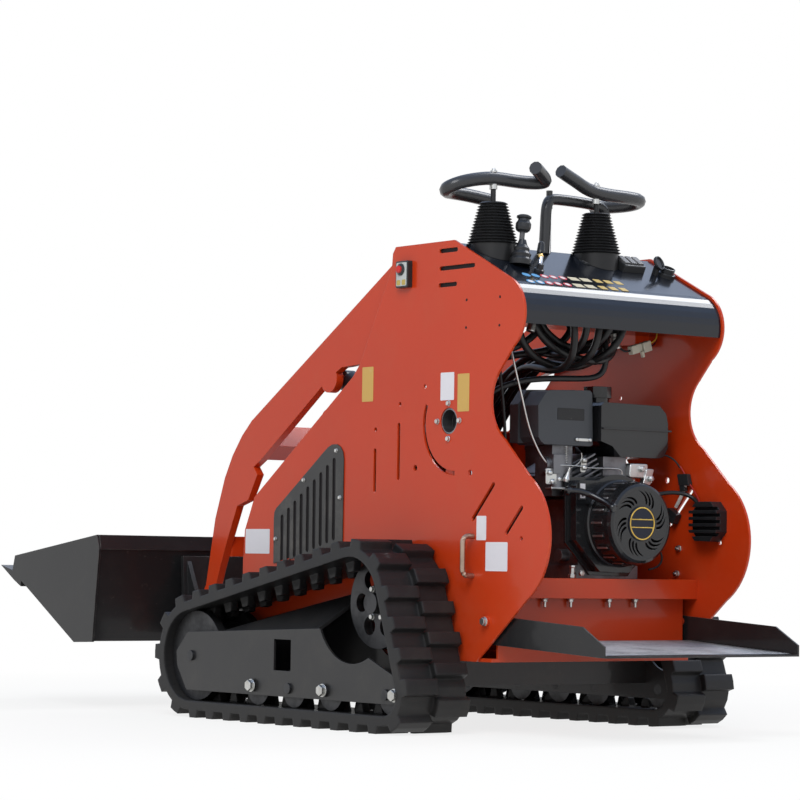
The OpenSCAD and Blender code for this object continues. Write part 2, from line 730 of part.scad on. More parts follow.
module lift_arm(x0) {
    across(x0, arm_t) arm_outline();
    bar_x(lift_x - 18, arm_x0 - lift_x + 18, lift_ear, lift_pin_r);
}
module lift_arm_left() {
    color(orange) at_middle() mirror([1, 0, 0]) lift_arm(arm_x0);
}
module lift_arm_right() {
    color(orange) at_middle() lift_arm(arm_x0);
}

// Cross members between the arms, with the tilt cylinder's ears
tilt_base = [1174, 735];
upper_tube_c = [1130, 668];
lower_tube_c = [1285, 412];
ear_t = 12;
tilt_slot = 64;
module arm_cross_members() {
    color(orange) at_middle() {
        across(-arm_x0, 2 * arm_x0) translate(upper_tube_c) rotate(-33) square(60, center = true);
        across(-arm_x0, 2 * arm_x0) translate(lower_tube_c) square([46, 50], center = true);
        both_sides() across(tilt_slot / 2, ear_t) {
            translate(tilt_base) circle(r = 26);
            polygon([tilt_base + [-20, 14], tilt_base + [22, -10], upper_tube_c + [28, -8], upper_tube_c + [-22, 24]]);
        }
        bar_x(-tilt_slot / 2 - ear_t, tilt_slot + 2 * ear_t, tilt_base, tip_pin_r);
    }
}

// Lift cylinders: barrel pinned to the arm's ear, rod eye at the side plate
lift_x = arm_x0 - 8 - lift_barrel_r;
lift_boss_x = lift_x + 18;
lift_dir = unit(lift_rod_pin - lift_ear);
lift_len = norm(lift_rod_pin - lift_ear);
lift_free = 52;
bore_start = 42;
rod_start = 68;
rod_gap = 0.1;
module along_cylinder(x, a, d) {
    translate([x, a[0], a[1]]) rotate([atan2(d[1], d[0]), 0, 0]) rotate([-90, 0, 0]) children();
}
module cylinder_barrel(x, a, d, l, r, rod_r, pin_r, eye_w) {
    along_cylinder(x, a, d) difference() {
        union() {
            translate([0, 0, 14]) cylinder(h = l - 14, r = r);
            rotate([0, 90, 0]) cylinder(h = eye_w, r = 24, center = true);
        }
        translate([0, 0, bore_start]) cylinder(h = l, r = rod_r + rod_gap);
        rotate([0, 90, 0]) cylinder(h = 4 * r, r = pin_r + pin_gap, center = true);
    }
}
module cylinder_rod(x, a, d, l0, l, r) {
    along_cylinder(x, a, d) {
        translate([0, 0, l0]) cylinder(h = l - l0, r = r);
        translate([0, 0, l]) rotate([0, 90, 0]) cylinder(h = 30, r = 22, center = true);
    }
}
module lift_barrel_left() {
    color(black) at_middle()
        cylinder_barrel(-lift_x, lift_ear, lift_dir, lift_len - lift_free, lift_barrel_r, lift_rod_r, lift_pin_r, 30);
}
module lift_barrel_right() {
    color(black) at_middle() cylinder_barrel(lift_x, lift_ear, lift_dir, lift_len - lift_free, lift_barrel_r, lift_rod_r, lift_pin_r, 30);
}
module lift_rod_left() {
    color(steel) at_middle() cylinder_rod(-lift_x, lift_ear, lift_dir, rod_start, lift_len, lift_rod_r);
}
module lift_rod_right() {
    color(steel) at_middle() cylinder_rod(lift_x, lift_ear, lift_dir, rod_start, lift_len, lift_rod_r);
}

// Tilt cylinder between the upper cross member and the quick attach plate
tilt_eye = [1440, 340];
tilt_dir = unit(tilt_eye - tilt_base);
tilt_len = norm(tilt_eye - tilt_base);
module tilt_barrel() {
    color(black) at_middle() cylinder_barrel(0, tilt_base, tilt_dir, tilt_len - 60, tilt_barrel_r, tilt_rod_r, tip_pin_r, 56);
}
module tilt_rod() {
    color(steel) at_middle() {
        cylinder_rod(0, tilt_base, tilt_dir, rod_start, tilt_len, tilt_rod_r);
        bar_x(-28, 56, tilt_eye, 12);
    }
}

// Quick attach plate on the arm tips
attach_w = 2 * arm_x0 + 4;
module quick_attach() {
    color(black) at_middle() {
        across(-attach_w / 2, attach_w) polygon([[1462, 180], [1474, 178], [1490, 386], [1478, 387]]);
        both_sides() {
            across(arm_x0 - 10 - 12, 12) polygon([[1350, 185], [1385, 160], [1466, 178], [1480, 380], [1440, 300], [1350, 230]]);
            across(tilt_slot / 2, ear_t) polygon([[1414, 340], [1424, 362], [1450, 372], [1484, 384], [1474, 240], [1420, 318]]);
        }
        both_sides() bar_x(arm_x0 - 10, arm_t + 10, bucket_pivot, tip_pin_r);
    }
}

// Bucket: folded floor and back, side plates, top lip and cutting edge
bucket_line = [[1900, 330], [1845, 300], [1610, 167], [1524, 170], [1500, 401], [1508, 434]];
module bucket() {
    hw = bucket_w / 2;
    color(dark_grey) at_middle() {
        across(-hw + bucket_t, bucket_w - 2 * bucket_t) polygon(strip(bucket_line, -bucket_t));
        both_sides() across(hw - bucket_t, bucket_t) polygon([
            [1508, 437], [1913, 382], [1925, 342], [1845, 298], [1610, 165], [1522, 168], [1497, 401]]);
        both_sides() across(140, 30) polygon([[1476.2, 200], [1489.8, 376], [1503, 378], [1522, 195]]);
        across(-hw + bucket_t, bucket_w - 2 * bucket_t) polygon([[1497, 401], [1504, 437], [1540, 433], [1536, 424], [1514, 426], [1508, 400]]);
        across(-hw, bucket_w) polygon([[bucket_tip_y, 357], [1913, 317], [1880, 302], [1880, 318], [1930, 345]]);
    }
}

// Operator platform hinged on the side plates
module platform() {
    px = inner_w - platform_side_gap;
    color(black) at_middle() {
        across(-px, 2 * px) polygon([[196, 204], [-platform_reach, 182], [-platform_reach, 186], [196, 208]]);
        both_sides() across(px - platform_t, platform_t) difference() {
            polygon([[253, 267], [253, 221], [212, 200], [-platform_reach, 182], [-platform_reach, 207], [-96, 247]]);
            translate(platform_pivot) circle(r = platform_pin_r + pin_gap);
        }
    }
}

side_plate_left();
side_plate_right();
floor_frame();
front_cover();
arm_towers();
console_panel();
control_bellows();
drive_handles();
grab_bar();
levers_and_switches();
grille_left();
grille_right();
stop_button_box();
tie_down_rings();
engine_block();
fan_housing();
recoil_cover();
air_cleaner();
fuel_tank();
muffler();
regulator();
hydraulic_pump();
valve_block();
hydraulic_tank();
undercarriage_frame();
track_frame_left();
track_frame_right();
sprocket_left();
sprocket_right();
track_wheels_left();
track_wheels_right();
track_left();
track_right();
lift_arm_left();
lift_arm_right();
arm_cross_members();
lift_barrel_left();
lift_barrel_right();
lift_rod_left();
lift_rod_right();
tilt_barrel();
tilt_rod();
quick_attach();
bucket();
platform();
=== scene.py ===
import bpy, bmesh, math
from mathutils import Matrix, Vector


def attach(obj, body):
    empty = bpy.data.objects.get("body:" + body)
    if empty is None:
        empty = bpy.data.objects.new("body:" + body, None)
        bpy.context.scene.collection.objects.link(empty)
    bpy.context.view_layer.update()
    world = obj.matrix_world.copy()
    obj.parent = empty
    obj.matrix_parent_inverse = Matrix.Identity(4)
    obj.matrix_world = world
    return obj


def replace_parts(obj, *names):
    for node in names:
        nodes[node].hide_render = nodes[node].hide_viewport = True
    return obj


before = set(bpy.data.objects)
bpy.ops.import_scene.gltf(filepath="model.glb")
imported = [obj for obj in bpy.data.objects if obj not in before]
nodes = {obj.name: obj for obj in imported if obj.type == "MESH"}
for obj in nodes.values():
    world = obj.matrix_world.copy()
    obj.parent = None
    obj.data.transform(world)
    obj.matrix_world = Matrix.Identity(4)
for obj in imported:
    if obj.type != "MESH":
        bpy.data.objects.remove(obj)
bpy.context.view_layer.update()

# Camera.
# Low down behind the left rear corner, where the photograph was taken from.
view = bpy.data.objects.new("camera", bpy.data.cameras.new("camera"))
bpy.context.scene.collection.objects.link(view)
view.data.lens, view.data.sensor_width = 135, 36
stand = (-4.48468, -5.85038, 0.37818)
yaw, pitch, roll = (math.radians(a) for a in (37.367, 3.100, 0.828))
ahead = Vector((math.sin(yaw) * math.cos(pitch), math.cos(yaw) * math.cos(pitch), math.sin(pitch)))
right = Vector((math.cos(yaw), -math.sin(yaw), 0))
up = right.cross(ahead)
right, up = math.cos(roll) * right + math.sin(roll) * up, math.cos(roll) * up - math.sin(roll) * right
view.matrix_world = Matrix.Translation(stand) @ Matrix((right, up, -ahead)).transposed().to_4x4()
bpy.context.scene.camera = view


# Shader maths.
# Wraps a socket of a material's nodes, so that a mask is written as a plain sum.
class Wire:
    def __init__(self, tree, socket=None):
        self.tree, self.socket = tree, socket

    def node(self, kind, settings={}, inputs={}, out=0):
        made = self.tree.nodes.new("ShaderNode" + kind)
        for key, value in settings.items():
            setattr(made, key, value)
        for key, value in inputs.items():
            if isinstance(value, Wire):
                self.tree.links.new(value.socket, made.inputs[key])
            else:
                made.inputs[key].default_value = value
        return Wire(self.tree, made.outputs[out] if made.outputs else None)

    def sum(self, kind, a, b=0.0, clamp=False):
        return self.node("Math", {"operation": kind, "use_clamp": clamp}, {0: a, 1: b})

    def __add__(self, other): return self.sum("ADD", self, other)
    __radd__ = __add__
    def __mul__(self, other): return self.sum("MULTIPLY", self, other)
    def __sub__(self, other): return self.sum("SUBTRACT", self, other)
    def __rsub__(self, other): return self.sum("SUBTRACT", other, self)
    def above(self, level, soft): return self.sum("MULTIPLY", self - level, 1.0 / soft, True)

    def mix(self, a, b):
        tint = lambda c: c if isinstance(c, Wire) else tuple(c) + (1,)
        return self.node("Mix", {"data_type": "RGBA"}, {0: self, 6: tint(a), 7: tint(b)}, 2)


# Floor and light.
# A plain pale floor and white surround, with a large soft lamp on each side.
# The floor keeps a faint shadow near the loader and turns white further out.
bpy.context.scene.view_settings.view_transform = "Standard"
world = bpy.data.worlds.new("surround")
bpy.context.scene.world = world
world.use_nodes = True
world.node_tree.nodes.clear()
sky = Wire(world.node_tree)
seen = sky.node("LightPath", out="Is Camera Ray")
mirrored = sky.sum("MAXIMUM", sky.node("LightPath", out="Is Glossy Ray"),
    sky.node("LightPath", out="Is Transmission Ray"))
shown = sky.sum("MAXIMUM", seen, mirrored)
height = sky.node("SeparateXYZ", inputs={0: sky.node("TexCoord", out="Generated")}, out=2)
tint = (height.above(0.1, 0.6) * (1 - seen)).mix((1, 1, 1), (0.50, 0.66, 1.0))
even = sky.node("Background", inputs={"Color": (0.93, 0.97, 1.0, 1), "Strength": 0.55})
white = sky.node("Background", inputs={"Color": tint, "Strength": 1.0})
sky.node("OutputWorld", inputs={0: sky.node("MixShader", inputs={0: shown, 1: even, 2: white})})
for name, place, aim, size, power in (("key", (-3.6, -3.4, 4.6), (0, 0, 0.5), 3.0, 200),
                                      ("fill", (2.7, -0.3, 4.2), (0, -0.3, 0.6), 1.8, 75)):
    lamp = bpy.data.objects.new(name, bpy.data.lights.new(name, "AREA"))
    lamp.data.size, lamp.data.energy = size, power
    bpy.context.scene.collection.objects.link(lamp)
    turn = (Vector(aim) - Vector(place)).to_track_quat("-Z", "Y")
    lamp.matrix_world = Matrix.Translation(place) @ turn.to_matrix().to_4x4()
shape = bmesh.new()
floor_half = 30
bmesh.ops.create_grid(shape, x_segments=1, y_segments=1, size=floor_half)
floor = bpy.data.objects.new("floor", bpy.data.meshes.new("floor"))
shape.to_mesh(floor.data)
bpy.context.scene.collection.objects.link(floor)
made = bpy.data.materials.new("floor_paper")
made.use_nodes = True
paper = Wire(made.node_tree)
shader = made.node_tree.nodes["Principled BSDF"]
shader.inputs["Base Color"].default_value = (0.88, 0.88, 0.88, 1)
shader.inputs["Roughness"].default_value = 0.8
away = paper.node("VectorMath", {"operation": "LENGTH"}, {0: paper.node("TexCoord", out="Object")}, "Value")
far = away.above(1.3, 1.6)
shown = paper.sum("MAXIMUM", paper.node("LightPath", out="Is Camera Ray"),
    paper.node("LightPath", out="Is Glossy Ray"))
glow = paper.node("Emission", inputs={"Color": (1, 1, 1, 1), "Strength": 1.0})
mixed = paper.node("MixShader", inputs={0: shown * (0.8 + far * 0.2),
    1: Wire(made.node_tree, shader.outputs[0]), 2: glow})
made.node_tree.links.new(mixed.socket, made.node_tree.nodes["Material Output"].inputs[0])
floor.data.materials.append(made)


# Orange plates and arms.
# Laser cut and folded steel, sprayed orange-red: side plates, floor, towers, arms and tank.
# The edges are painted lighter orange in patches, a painted highlight, and a little dust lies low down.
def finish(name, coat=0.0, metal=0.0, round_edge=0.0022):
    made = bpy.data.materials.new(name)
    made.use_nodes = True
    shader = made.node_tree.nodes["Principled BSDF"]
    shader.inputs["Specular IOR Level"].default_value = 0.5 if metal else 0.26
    shader.inputs["Coat Weight"].default_value = coat
    shader.inputs["Coat Roughness"].default_value = 0.08
    shader.inputs["Metallic"].default_value = metal
    start = Wire(made.node_tree)
    rounded = start.node("Bevel", {"samples": 4}, {"Radius": round_edge})
    flat = start.node("NewGeometry", out="Normal")
    edge = (1 - start.node("VectorMath", {"operation": "DOT_PRODUCT"}, {0: rounded, 1: flat},
        "Value")).above(0.04, 0.16)
    return made, shader, start, start.node("TexCoord", out="Object"), rounded, edge


def noise(start, place, scale, detail=3.0, rough=0.55):
    return start.node("TexNoise", inputs={"Vector": place, "Scale": scale, "Detail": detail,
        "Roughness": rough})


def connect(shader, start, colour, rough, rounded, bump, strength=0.1, depth=0.001):
    normal = start.node("Bump", inputs={"Strength": strength, "Distance": depth, "Height": bump,
        "Normal": rounded})
    for socket, wire in (("Base Color", colour), ("Roughness", rough), ("Normal", normal)):
        start.tree.links.new(wire.socket, shader.inputs[socket])


def painted(name, colour, dark, dust, rough, coat, dusty=0.35, peel=0.06, edge_wear_and_highlight=None, scratch=0.0,
    soft=0.0022):
    made, shader, start, place, rounded, edge = finish(name, coat, 0.0, soft)
    height = start.node("SeparateXYZ", inputs={0: place}, out=2)
    patch = noise(start, place, 9.0, 5.0, 0.7)
    dirty = (patch.above(0.5, 0.3) * 0.5 + (1 - height.above(0.05, 0.45)) * patch) * dusty
    base = noise(start, place, 2.3, 2.0).mix(colour, dark)
    # Edges lightened in patches: a painted highlight on the orange paint, wear down to grey on the bucket and
    # platform, plain lighter edges elsewhere.
    if edge_wear_and_highlight:
        base = (edge * noise(start, place, 30.0, 4.0).above(0.35, 0.3) * 0.7).mix(base, edge_wear_and_highlight)
    fine = noise(start, place, 260.0, 2.0)
    if scratch:
        streak = noise(start, start.node("Mapping", inputs={"Vector": place, "Scale": (8, 60, 8)}), 6.0,
            6.0, 0.75)
        base = (streak.above(0.62, 0.08) * scratch).mix(base, dust)
    connect(shader, start, dirty.mix(base, dust), rough + dirty * 0.4 + fine * 0.05, rounded, fine, peel,
        0.0004)
    return made


def dress(material, *names):
    for name in names:
        mesh = nodes[name].data
        mesh.materials.clear()
        mesh.materials.append(material)
        for face in mesh.polygons:
            face.material_index = 0


# Its lighter orange edges are a painted highlight.
orange_paint = painted("orange_paint", (0.57, 0.044, 0.005), (0.47, 0.030, 0.004), (0.36, 0.15, 0.07), 0.26,
    0.2, 0.18,
                       edge_wear_and_highlight=(0.82, 0.14, 0.02))
dress(orange_paint, "side_plate_left", "side_plate_right", "floor_frame", "front_cover", "arm_towers",
      "lift_arm_left", "lift_arm_right", "arm_cross_members", "hydraulic_tank")

# Black painted steel.
# Track frames, cylinder barrels, bucket, coupler, platform and engine covers in satin black.
# The bucket and the platform are scratched by work, down to grey.
black_paint = painted("black_paint", (0.009, 0.0095, 0.011), (0.014, 0.0145, 0.017), (0.10, 0.09, 0.075),
    0.34, 0.25, 0.25,
                      edge_wear_and_highlight=(0.07, 0.07, 0.072))
dress(black_paint, "undercarriage_frame", "track_frame_left", "track_frame_right", "lift_barrel_left",
      "lift_barrel_right", "tilt_barrel", "quick_attach", "valve_block", "regulator")
worn_black = painted("worn_black", (0.007, 0.0075, 0.009), (0.012, 0.012, 0.013), (0.10, 0.09, 0.08), 0.28,
    0.2, 0.12,
                     edge_wear_and_highlight=(0.22, 0.20, 0.18), scratch=0.35)
dress(worn_black, "bucket", "platform")
cover_black = painted("cover_black", (0.008, 0.0085, 0.010), (0.012, 0.0125, 0.014), (0.05, 0.046, 0.042),
    0.20, 0.5, 0.12,
                      edge_wear_and_highlight=(0.05, 0.052, 0.056))
dress(cover_black, "fan_housing", "recoil_cover", "fuel_tank")
cleaner_plastic = painted("cleaner_plastic", (0.052, 0.056, 0.064), (0.060, 0.064, 0.072),
    (0.12, 0.115, 0.105), 0.42, 0.1, 0.2, 0.25,
                          edge_wear_and_highlight=(0.13, 0.13, 0.135))
dress(cleaner_plastic, "air_cleaner")

# Console sheet.
# One glossy black sheet rolled over the rear edge, which mirrors the sky.
# The blue in its black base colour is a painted reflection of the sky.
console_gloss = painted("console_gloss", (0.004, 0.006, 0.011), (0.006, 0.008, 0.014), (0.08, 0.08, 0.08),
    0.16, 0.4, 0.12, 0.02)
dress(console_gloss, "console_panel")

# Rubber and plastic of the controls, and the tracks.
# Moulded bellows, foam sleeves over bent bars, and rubber tracks that carry dry soil low down.
bellows_rubber = painted("bellows_rubber", (0.012, 0.012, 0.013), (0.020, 0.020, 0.020),
    (0.07, 0.066, 0.06), 0.40, 0.1, 0.2, 0.12)
dress(bellows_rubber, "control_bellows")
handle_foam = painted("handle_foam", (0.026, 0.027, 0.029), (0.036, 0.036, 0.038), (0.09, 0.09, 0.09), 0.36,
    0.35, 0.2, 0.4)
dress(handle_foam, "drive_handles", "grab_bar")
track_rubber = painted("track_rubber", (0.006, 0.0065, 0.008), (0.011, 0.011, 0.012), (0.07, 0.062, 0.052),
    0.46, 0.1, 0.3, 0.3,
                       edge_wear_and_highlight=(0.030, 0.030, 0.032), scratch=0.1, soft=0.008)
dress(track_rubber, "track_left", "track_right")
control_plastic = painted("control_plastic", (0.016, 0.017, 0.019), (0.024, 0.025, 0.027),
    (0.08, 0.08, 0.075), 0.34, 0.2, 0.2, 0.15)
dress(control_plastic, "levers_and_switches", "stop_button_box")


# Bare metals.
# Bent steel rings, chromed rods, the cast engine and the cast wheels inside the tracks.
def metal(name, colour, dark, rough):
    made, shader, start, place, rounded, edge = finish(name, 0.0, 1.0, 0.0012)
    stain = noise(start, place, 14.0, 5.0, 0.7).above(0.45, 0.35)
    grain = noise(start, place, 240.0, 2.0)
    connect(shader, start, stain.mix(colour, dark), rough + stain * 0.2 + grain * 0.08, rounded, grain,
        0.12, 0.0005)
    return made


chrome = metal("chrome_rod", (0.75, 0.75, 0.77), (0.62, 0.62, 0.64), 0.08)
cast_grey = metal("engine_metal", (0.20, 0.20, 0.21), (0.08, 0.08, 0.08), 0.42)
dark_cast = metal("cast_wheels", (0.075, 0.075, 0.077), (0.03, 0.03, 0.03), 0.45)
zinc = metal("zinc_plate", (0.60, 0.60, 0.58), (0.36, 0.34, 0.30), 0.28)
dress(metal("worn_ring", (0.46, 0.34, 0.26), (0.22, 0.15, 0.11), 0.36), "tie_down_rings")
dress(chrome, "lift_rod_left", "lift_rod_right", "tilt_rod")
dress(cast_grey, "engine_block", "muffler", "hydraulic_pump")
dress(dark_cast, "sprocket_left", "sprocket_right", "track_wheels_left", "track_wheels_right")

# Bolts.
# Zinc plated hex bolts on washers: port flanges, track rollers, hubs, hinges and under the cross tube.
# Places are in millimetres from the side plates' rear bulge, as x, y, z.
rear_bulge = 0.9085


def place_of(x, y, z):
    return Vector((x / 1000, y / 1000 - rear_bulge, z / 1000))


def keep(name, shape, body, *materials):
    shape.normal_update()
    piece = bpy.data.objects.new(name, bpy.data.meshes.new(name))
    shape.to_mesh(piece.data)
    shape.free()
    for material in materials:
        piece.data.materials.append(material)
    bpy.context.scene.collection.objects.link(piece)
    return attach(piece, body)


def settle(shape, before, axes, at, slot=0, outward=False):
    """Turns what was added since before to the axes, moves it to its place and gives it a finish."""
    new = [v for v in shape.verts if v not in before]
    faces = list({f for v in new for f in v.link_faces})
    if outward:
        bmesh.ops.recalc_face_normals(shape, faces=faces)
    turn = Matrix(axes).transposed().to_4x4()
    bmesh.ops.transform(shape, matrix=Matrix.Translation(place_of(*at)) @ turn, verts=new)
    for face in faces:
        face.material_index = slot


def axes_of(toward):
    turn = Vector(toward).to_track_quat("Z", "Y").to_matrix()
    return turn.col[0], turn.col[1], turn.col[2]


def bolts(name, body, material, toward, spots, size=6.0, tall=5.0, shank=0.0):
    """Hex bolts in one piece: size is the head's radius, tall its height, shank the thread's length."""
    r, washer_t, head_t, stud_t = size / 1000, 0.0016, tall / 1000, shank / 1000
    shape = bmesh.new()
    for spot in spots:
        before = set(shape.verts)
        washer = bmesh.ops.create_cone(shape, cap_ends=True, segments=20, radius1=1.2 * r, radius2=1.15 * r,
            depth=washer_t)["verts"]
        bmesh.ops.translate(shape, verts=washer, vec=(0, 0, washer_t / 2))
        if shank:
            stud = bmesh.ops.create_cone(shape, cap_ends=True, segments=16, radius1=0.5 * r,
                radius2=0.42 * r, depth=stud_t)["verts"]
            bmesh.ops.translate(shape, verts=stud, vec=(0, 0, washer_t + head_t + stud_t / 2))
        head = bmesh.ops.create_cone(shape, cap_ends=True, segments=6, radius1=r, radius2=r,
            depth=head_t)["verts"]
        bmesh.ops.translate(shape, verts=head, vec=(0, 0, washer_t + head_t / 2))
        edges = list({e for v in head for e in v.link_edges})
        bmesh.ops.bevel(shape, geom=edges, offset=0.09 * r, affect="EDGES", segments=2, profile=0.5,
            material=-1)
        settle(shape, before, axes_of(toward), spot)
    return keep(name, shape, body, material)


leftward, rightward, downward, backward = (-1, 0, 0), (1, 0, 0), (0, 0, -1), (0, -1, 0)
plate_face, roller_face, hub_face = 300, 486, 408
port_y, port_z, port_circle = 356, 698, 40
port = [(port_y + port_circle * math.cos(a), port_z + port_circle * math.sin(a)) for a in (0, math.pi / 2,
    math.pi, 1.5 * math.pi)]
rollers = (852, 568, 300)
bolts("port_bolts_left", "chassis", zinc, leftward, [(-plate_face, y, z) for y, z in port], 5.5, 4.5)
bolts("port_bolts_right", "chassis", zinc, rightward, [(plate_face, y, z) for y, z in port], 5.5, 4.5)
bolts("tube_bolts", "chassis", zinc, downward, [(x, 190, 303) for x in (-151, -75, 40, 119)], 7, 6, 12)
bolts("roller_bolts_left", "chassis", zinc, leftward, [(-roller_face, y, 87) for y in rollers], 13, 9)
bolts("roller_bolts_right", "chassis", zinc, rightward, [(roller_face, y, 87) for y in rollers], 13, 9)
bolts("platform_bolts_left", "chassis", zinc, leftward, [(-307, 211, 251)], 9, 6)
bolts("platform_bolts_right", "chassis", zinc, rightward, [(307, 211, 251)], 9, 6)
bolts("inner_bolts_right", "chassis", zinc, leftward, [(294, 234, 420), (294, 240, 361)], 7, 6, 4)
for side, way in ((-1, leftward), (1, rightward)):
    turns = [math.radians(a) for a in range(0, 360, 60)]
    ring = [(side * hub_face, 468 + 36 * math.cos(a), 286 + 36 * math.sin(a)) for a in turns]
    bolts("hub_nuts_" + ("left" if side < 0 else "right"), "chassis", zinc, way, ring, 6, 6)

# Louvred side grilles.
# Flat laser cut plates with nine upright slots, in satin black greyed by dust, held by four bolts.
# A sheet of painted shade lies behind the slots.
grille_edge = [(1031, 372), (1032, 482), (1030, 496), (1022, 506), (1008, 515), (832, 636), (814, 648),
    (796, 655), (778, 655),
               (763, 648), (754, 636), (750, 620), (751, 414)]
slot_half = 6.5
slot_tops = [(997 - 26.2 * i, 483 + 16.7 * i) for i in range(9)]
slot_ends = [(997 - 26.4 * i, 378 + 7.0 * i) for i in range(9)]
grille_grey = painted("grille_grey", (0.030, 0.030, 0.032), (0.050, 0.048, 0.046), (0.19, 0.175, 0.155),
    0.40, 0.1, 0.9,
                      edge_wear_and_highlight=(0.12, 0.11, 0.10))
# Near black, used only for painted shade in slots and holes.
painted_slot_shade = painted("painted_slot_shade", (0.004, 0.004, 0.005), (0.010, 0.006, 0.006), (0.03, 0.025, 0.02), 0.6,
    0.0, 0.1)


def sheet(shape, loops, thick, axes, at, slot=0):
    """A flat plate cut to its first loop, with the other loops as holes."""
    before = set(shape.verts)
    edges = []
    for loop in loops:
        verts = [shape.verts.new((u / 1000, v / 1000, 0)) for u, v in loop]
        edges += [shape.edges.new((verts[i], verts[i - 1])) for i in range(len(verts))]
    made = bmesh.ops.triangle_fill(shape, edges=edges, use_beauty=True)
    faces = [f for f in made["geom"] if isinstance(f, bmesh.types.BMFace)]
    walls = bmesh.ops.extrude_face_region(shape, geom=faces, use_keep_orig=True)
    lifted = [v for v in walls["geom"] if isinstance(v, bmesh.types.BMVert)]
    bmesh.ops.translate(shape, verts=lifted, vec=(0, 0, thick / 1000))
    settle(shape, before, axes, at, slot, True)


plate_axes = (Vector((0, 1, 0)), Vector((0, 0, 1)), Vector((1, 0, 0)))
for side, name in ((-1, "left"), (1, "right")):
    loops = [grille_edge]
    for (y0, z0), (y1, z1) in zip(slot_ends, slot_tops):
        half_turn = [math.pi * k / 8 for k in range(9)]
        loops.append([(y0 - slot_half * math.cos(a), z0 - slot_half * math.sin(a)) for a in half_turn]
                     + [(y1 + slot_half * math.cos(a), z1 + slot_half * math.sin(a)) for a in half_turn])
    shape = bmesh.new()
    sheet(shape, loops, side * 2.6, plate_axes, (side * (plate_face + 0.4), 0, 0))
    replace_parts(keep("grille_plate_" + name, shape, "chassis", grille_grey), "grille_" + name)
    shape = bmesh.new()
    # A near-black sheet just behind the slots: painted shade.
    inner = [(y + (891 - y) * 0.03, z + (500 - z) * 0.03) for y, z in grille_edge]
    sheet(shape, [inner], side * 0.3, plate_axes, (side * (plate_face + 0.05), 0, 0))
    keep("grille_shade_sheet_" + name, shape, "chassis", painted_slot_shade)
    spots = [(side * 303, y, z) for y, z in ((778, 640), (909, 572), (761, 529), (1022, 431))]
    bolts("grille_bolts_" + name, "chassis", zinc, (side, 0, 0), spots, 4.5, 3)


# Port pipes.
# The open end of a dark steel pipe stands in the round port of each side plate. A sheet of painted shade
# lies behind the upper slots, with four small dark discs beside them, painted shade that stands for holes.
def spun(shape, profile, axes, at, steps=32, slot=0):
    """Turns a chain of radius and height round its own axis, in millimetres."""
    before = set(shape.verts)
    chain = [shape.verts.new((r / 1000, 0, z / 1000)) for r, z in profile]
    for a, b in zip(chain, chain[1:]):
        shape.edges.new((a, b))
    edges = list({e for v in chain for e in v.link_edges})
    bmesh.ops.spin(shape, geom=chain + edges, axis=(0, 0, 1), cent=(0, 0, 0), angle=2 * math.pi,
        steps=steps, use_merge=True)
    new = [v for v in shape.verts if v not in before]
    bmesh.ops.remove_doubles(shape, verts=new, dist=1e-6)
    settle(shape, before, axes, at, slot, True)


hose_rubber = painted("hose_rubber", (0.010, 0.010, 0.011), (0.017, 0.017, 0.017), (0.05, 0.05, 0.046),
    0.32, 0.1, 0.2, 0.1)
pipe_steel = metal("pipe_steel", (0.26, 0.26, 0.27), (0.12, 0.115, 0.11), 0.4)
for side, name in ((-1, "left"), (1, "right")):
    outward, port_at = axes_of((side, 0, 0)), (side * 298.5, port_y, port_z)
    shape = bmesh.new()
    spun(shape, [(26, 0), (29, -0.5), (29, -40), (26, -40), (26, 0)], outward, port_at, 48)
    spun(shape, [(0, -30), (26, -30), (26, -34), (0, -34)], outward, port_at, 48, 1)
    keep("port_pipe_" + name, shape, "chassis", pipe_steel, hose_rubber)
    shape = bmesh.new()
    # A near-black sheet behind the upper slots: painted shade.
    shade_outline = [(265, 998), (402, 998), (402, 1094), (328, 1094), (265, 1056)]
    sheet(shape, [shade_outline], side * 0.4, plate_axes, (side * 294.3, 0, 0))
    # Small near-black discs on the plate face: painted shade standing for holes.
    for y, z in ((297, 968), (179, 968), (298, 906), (180, 905)):
        spun(shape, [(0, 0), (3.2, 0), (3.2, -1), (0, -1)], outward, (side * (plate_face + 0.3), y, z), 12)
    keep("slot_shade_sheet_" + name, shape, "chassis", painted_slot_shade)


# Blank plates.
# Thin stickers on the left plate in plain white and yellow, with nothing printed on them.
def block(shape, at, along, upright, w, h, t, corner=3.0, soft=0.0, slot=0):
    """A flat block with rounded corners, centred at its place, with its thickness along the third axis."""
    before = set(shape.verts)
    made = bmesh.ops.create_cube(shape, size=1)["verts"]
    bmesh.ops.scale(shape, verts=made, vec=(w / 1000, h / 1000, t / 1000))
    edges = [e for e in {e for v in made for e in v.link_edges} if abs(e.verts[0].co.z - e.verts[1].co.z) > 1e-6]
    bmesh.ops.bevel(shape, geom=edges, offset=corner / 1000, affect="EDGES", segments=4, profile=0.5,
        material=-1)
    if soft:
        new = {v for v in shape.verts if v not in before}
        rims = [e for e in {e for v in new for e in v.link_edges} if e.verts[0].co.z > 0 and e.verts[1].co.z > 0]
        bmesh.ops.bevel(shape, geom=rims, offset=soft / 1000, affect="EDGES", segments=3, profile=0.5,
            material=-1)
    a, b = Vector(along).normalized(), Vector(upright).normalized()
    settle(shape, before, (a, b, a.cross(b)), at, slot)


def film(name, colour, rough=0.35):
    made, shader, start, place, rounded, edge = finish(name, 0.0, 0.0, 0.0004)
    spots = noise(start, place, 60.0, 4.0).above(0.66, 0.2)
    fine = noise(start, place, 120.0)
    worn_through = (0.55, 0.52, 0.48)
    connect(shader, start, (spots * 0.4).mix(colour, worn_through), rough + fine * 0.1, rounded, fine, 0.05,
        0.0002)
    return made


